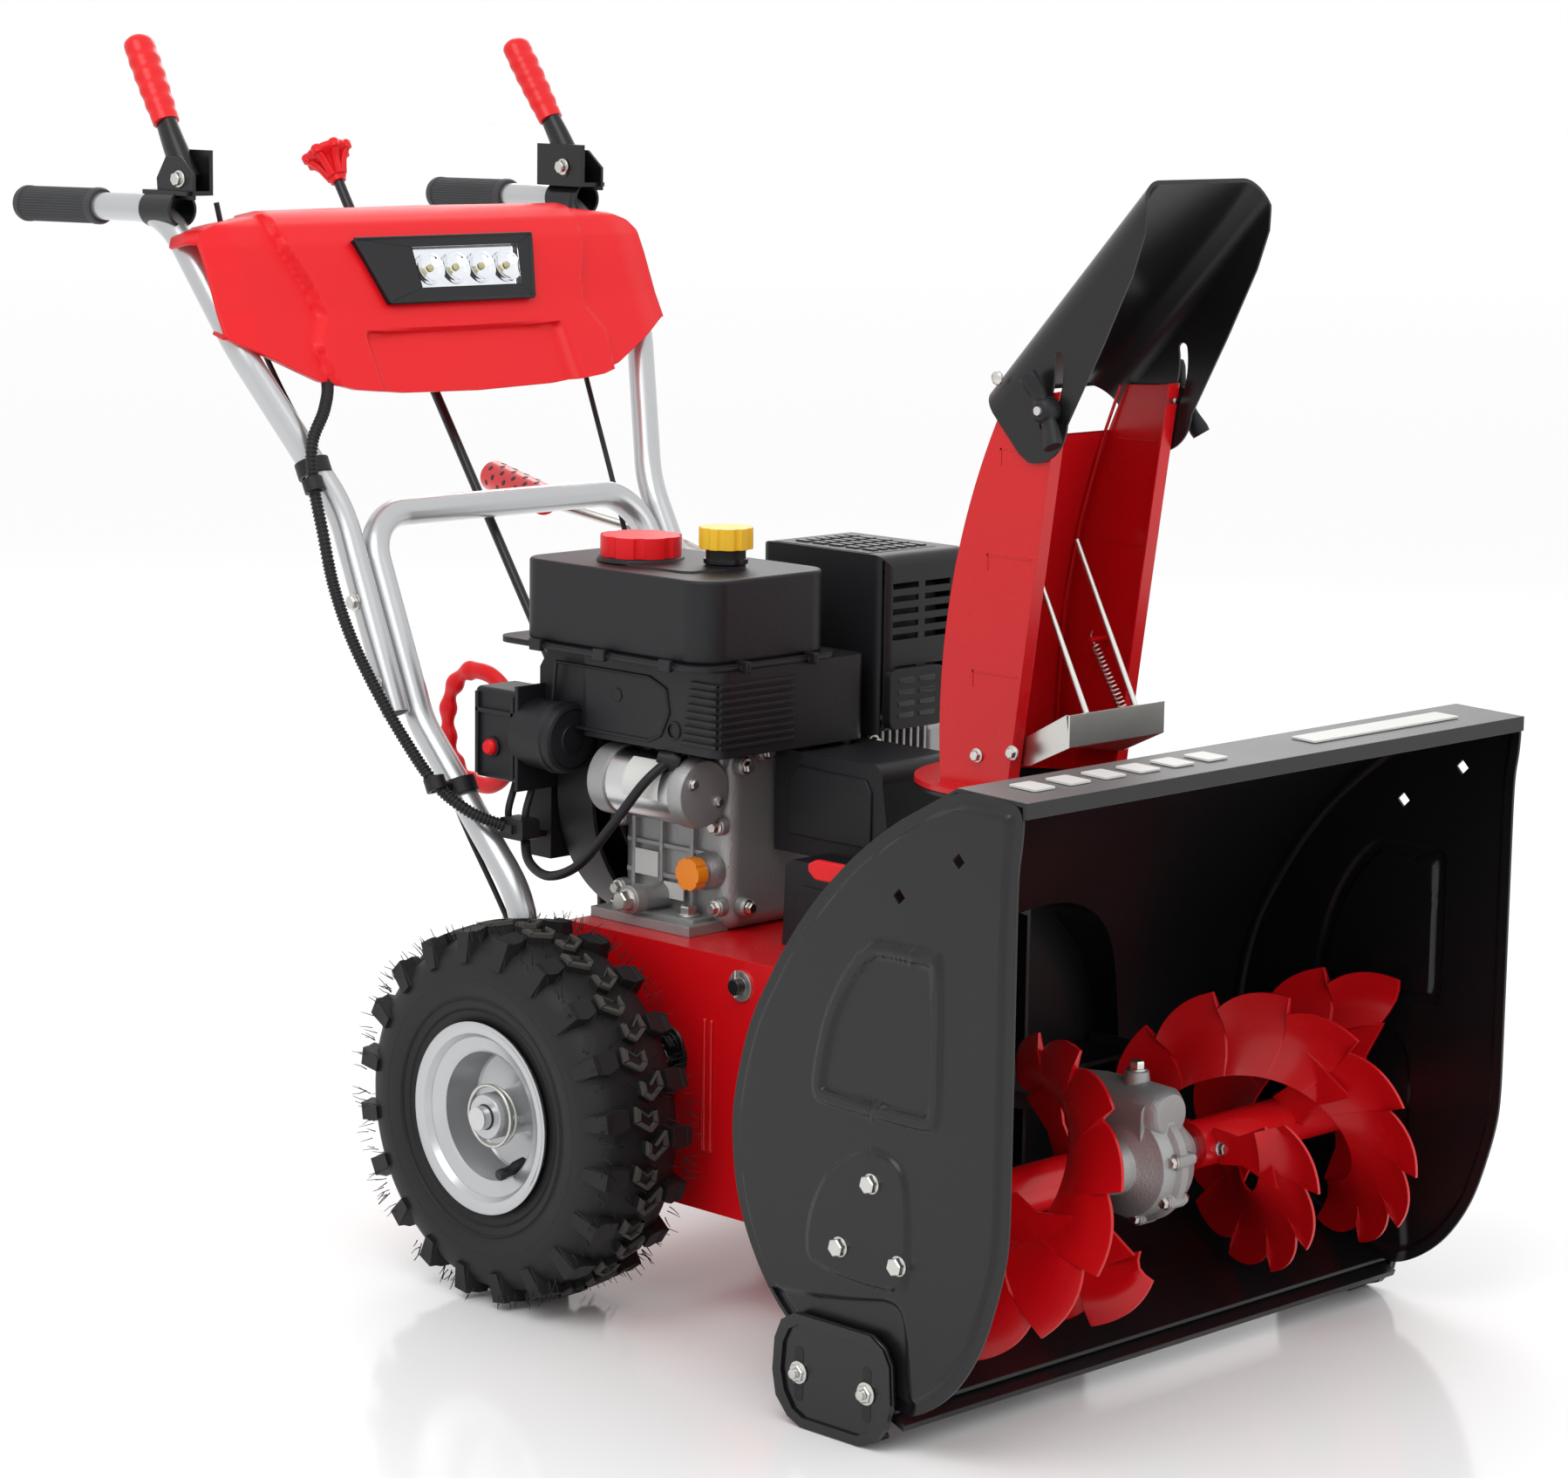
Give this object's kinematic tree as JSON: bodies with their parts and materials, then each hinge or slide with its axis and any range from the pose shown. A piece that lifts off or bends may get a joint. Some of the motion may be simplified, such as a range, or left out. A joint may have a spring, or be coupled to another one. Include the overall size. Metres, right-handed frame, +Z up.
{
  "type": "two stage snowblower",
  "caption": "Walk-behind two stage snowblower with toothed augers, impeller, turning chute, engine, driven wheels and handlebar controls.",
  "frame": {"origin": "middle of the machine on the ground", "axes": "+Z up, the auger housing opens towards -Y, the operator stands at +Y, the machine's left side is +X"},
  "size_m": [0.652, 1.3026, 1.0571],
  "materials": {
    "red_paint": "gloss",
    "black_paint": "semi-gloss",
    "zinc": "satin",
    "steel": "satin",
    "cast": "matte",
    "cast_aluminium": "satin",
    "black_plastic": "matte",
    "red_plastic": "satin",
    "yellow_plastic": "matte",
    "orange_plastic": "matte",
    "rubber": "matte",
    "tyre": "matte",
    "silver_paint": "gloss",
    "clear": "clear"
  },
  "bodies": {
    "chassis": {"housing_shell": "black_paint", "housing_sides": "black_paint", "impeller_housing": "red_paint", "scraper_bar": "black_paint", "auger_bearings": "black_paint", "gearbox_housing": "cast_aluminium", "hex_bolts": "zinc", "frame_box": "red_paint", "bushings": "black_plastic", "belt_cover": "black_plastic", "drive_belts": "rubber", "crankcase": "cast", "cylinder_head": "cast_aluminium", "blower_housing": "black_plastic", "fuel_tank": "black_plastic", "engine_shroud": "black_plastic", "muffler_guard": "black_paint", "starter_motor": "steel", "switch_box": "black_plastic", "lower_handle": "silver_paint", "upper_tubes": "silver_paint", "handle_grips": "rubber", "control_brackets": "black_paint", "control_console": "red_plastic", "lamp_bezel": "black_plastic", "lamp_lens": "clear", "control_cables": "rubber", "lamp_loom": "black_plastic", "clearing_tool": "red_plastic"},
    "skid_right": {"skid_shoe_right": "black_paint"},
    "skid_left": {"skid_shoe_left": "black_paint"},
    "auger": {"auger_shaft": "steel", "auger_flights": "red_paint"},
    "rotor": {"impeller": "red_paint", "impeller_shaft": "steel"},
    "wheels": {"axle": "steel", "wheel_rims": "silver_paint", "wheel_tyres": "tyre", "hub_pins": "zinc"},
    "friction_wheel": {"friction_wheel": "steel"},
    "friction_disc": {"friction_disc": "steel"},
    "crankshaft": {"crankshaft": "steel"},
    "starter_button": {"starter_button": "rubber"},
    "recoil_handle": {"recoil_handle": "red_plastic"},
    "fuel_cap": {"fuel_cap": "red_plastic"},
    "oil_filler_cap": {"oil_filler_cap": "yellow_plastic"},
    "dipstick": {"dipstick": "orange_plastic"},
    "chute": {"chute": "red_paint", "guard_spring": "zinc"},
    "hood": {"deflector_hood": "black_paint"},
    "knob_right": {"wing_knob_right": "black_plastic"},
    "knob_left": {"wing_knob_left": "black_plastic"},
    "guard": {"chute_guard": "zinc"},
    "crank": {"crank_rod": "zinc", "crank_handle": "red_plastic"},
    "drive_lever": {"drive_lever": "red_paint"},
    "auger_lever": {"auger_lever": "red_paint"},
    "shift_lever": {"shift_lever": "black_paint", "shift_knob": "red_plastic"},
    "shift_rod": {"shift_rod": "zinc"}
  },
  "joints": [
    {"name": "crank_spin", "type": "hinge", "parent": "chassis", "child": "crankshaft", "pos_m": [0, -0.11, 0.412], "axis": [0, 1, 0], "continuous": true},
    {"name": "impeller_spin", "type": "hinge", "parent": "chassis", "child": "rotor", "pos_m": [0, -0.36, 0.212], "axis": [0, 1, 0], "continuous": true},
    {"name": "auger_spin", "type": "hinge", "parent": "chassis", "child": "auger", "pos_m": [0, -0.509, 0.169], "axis": [1, 0, 0], "continuous": true},
    {"name": "disc_spin", "type": "hinge", "parent": "chassis", "child": "friction_disc", "pos_m": [0, -0.205, 0.212], "axis": [0, 1, 0], "continuous": true},
    {"name": "wheel_spin", "type": "hinge", "parent": "chassis", "child": "wheels", "pos_m": [0, -0.033, 0.162], "axis": [1, 0, 0], "continuous": true},
    {"name": "hex_spin", "type": "hinge", "parent": "chassis", "child": "friction_wheel", "pos_m": [0, -0.127, 0.212], "axis": [1, 0, 0], "continuous": true},
    {"name": "chute_turn", "type": "hinge", "parent": "chassis", "child": "chute", "pos_m": [0, -0.385, 0.464], "axis": [0, 0, 1], "range_deg": [-95, 95]},
    {"name": "crank_turn", "type": "hinge", "parent": "chassis", "child": "crank", "pos_m": [0.118, -0.357, 0.484], "axis": [0.2424, 0.9627, 0.1198], "range_deg": [-765, 765]},
    {"name": "hood_tilt", "type": "hinge", "parent": "chute", "child": "hood", "pos_m": [0, -0.401, 0.806], "axis": [1, 0, 0], "range_deg": [-8, 33]},
    {"name": "knob_right_turn", "type": "hinge", "parent": "chute", "child": "knob_right", "pos_m": [-0.088, -0.464, 0.776], "axis": [1, 0, 0], "continuous": true},
    {"name": "knob_left_turn", "type": "hinge", "parent": "chute", "child": "knob_left", "pos_m": [0.088, -0.464, 0.776], "axis": [1, 0, 0], "continuous": true},
    {"name": "guard_swing", "type": "hinge", "parent": "chute", "child": "guard", "pos_m": [0, -0.391, 0.493], "axis": [1, 0, 0], "range_deg": [-4, 10], "stiffness_Nm_per_rad": 4, "springref_deg": -2.86},
    {"name": "drive_lever_squeeze", "type": "hinge", "parent": "chassis", "child": "drive_lever", "pos_m": [-0.233, 0.431, 0.93], "axis": [1, 0, 0], "range_deg": [-48, 0], "stiffness_Nm_per_rad": 1.5, "springref_deg": 8.59},
    {"name": "auger_lever_squeeze", "type": "hinge", "parent": "chassis", "child": "auger_lever", "pos_m": [0.233, 0.431, 0.93], "axis": [1, 0, 0], "range_deg": [-48, 0], "stiffness_Nm_per_rad": 1.5, "springref_deg": 8.59},
    {"name": "shift_tilt", "type": "hinge", "parent": "chassis", "child": "shift_lever", "pos_m": [0, 0.423, 0.8], "axis": [1, 0, 0], "range_deg": [-12, 12]},
    {"name": "rod_slide", "type": "slide", "parent": "chassis", "child": "shift_rod", "axis": [0, 0.5673, 0.8235], "range_m": [-0.004, 0.004]},
    {"name": "recoil_pull", "type": "slide", "parent": "chassis", "child": "recoil_handle", "axis": [0, 1, 0], "range_m": [0, 0.06], "stiffness_N_per_m": 40, "springref_m": -0.02},
    {"name": "button_push", "type": "slide", "parent": "chassis", "child": "starter_button", "axis": [1, 0, 0], "range_m": [0, 0.003], "stiffness_N_per_m": 300, "springref_m": -0.001},
    {"name": "fuel_cap_turn", "type": "hinge", "parent": "chassis", "child": "fuel_cap", "pos_m": [-0.096, -0.02, 0.62], "axis": [0, 0, 1], "continuous": true},
    {"name": "oil_cap_turn", "type": "hinge", "parent": "chassis", "child": "oil_filler_cap", "pos_m": [-0.072, -0.099, 0.632], "axis": [0, 0, 1], "continuous": true},
    {"name": "dipstick_turn", "type": "hinge", "parent": "chassis", "child": "dipstick", "pos_m": [-0.113, -0.11, 0.36], "axis": [1, 0, 0], "continuous": true},
    {"name": "skid_right_lift", "type": "slide", "parent": "chassis", "child": "skid_right", "axis": [0, 0, 1], "range_m": [-0.01, 0.01]},
    {"name": "skid_left_lift", "type": "slide", "parent": "chassis", "child": "skid_left", "axis": [0, 0, 1], "range_m": [-0.01, 0.01]}
  ],
  "couplings": [
    {"joint": "impeller_spin", "follows": "crank_spin", "ratio": 0.68539},
    {"joint": "auger_spin", "follows": "crank_spin", "ratio": 0.068539},
    {"joint": "disc_spin", "follows": "crank_spin", "ratio": 0.68539},
    {"joint": "hex_spin", "follows": "wheel_spin", "ratio": -2.0588},
    {"joint": "crank_turn", "follows": "chute_turn", "ratio": 8},
    {"joint": "rod_slide", "follows": "shift_tilt", "m_per_rad": -0.0102}
  ]
}
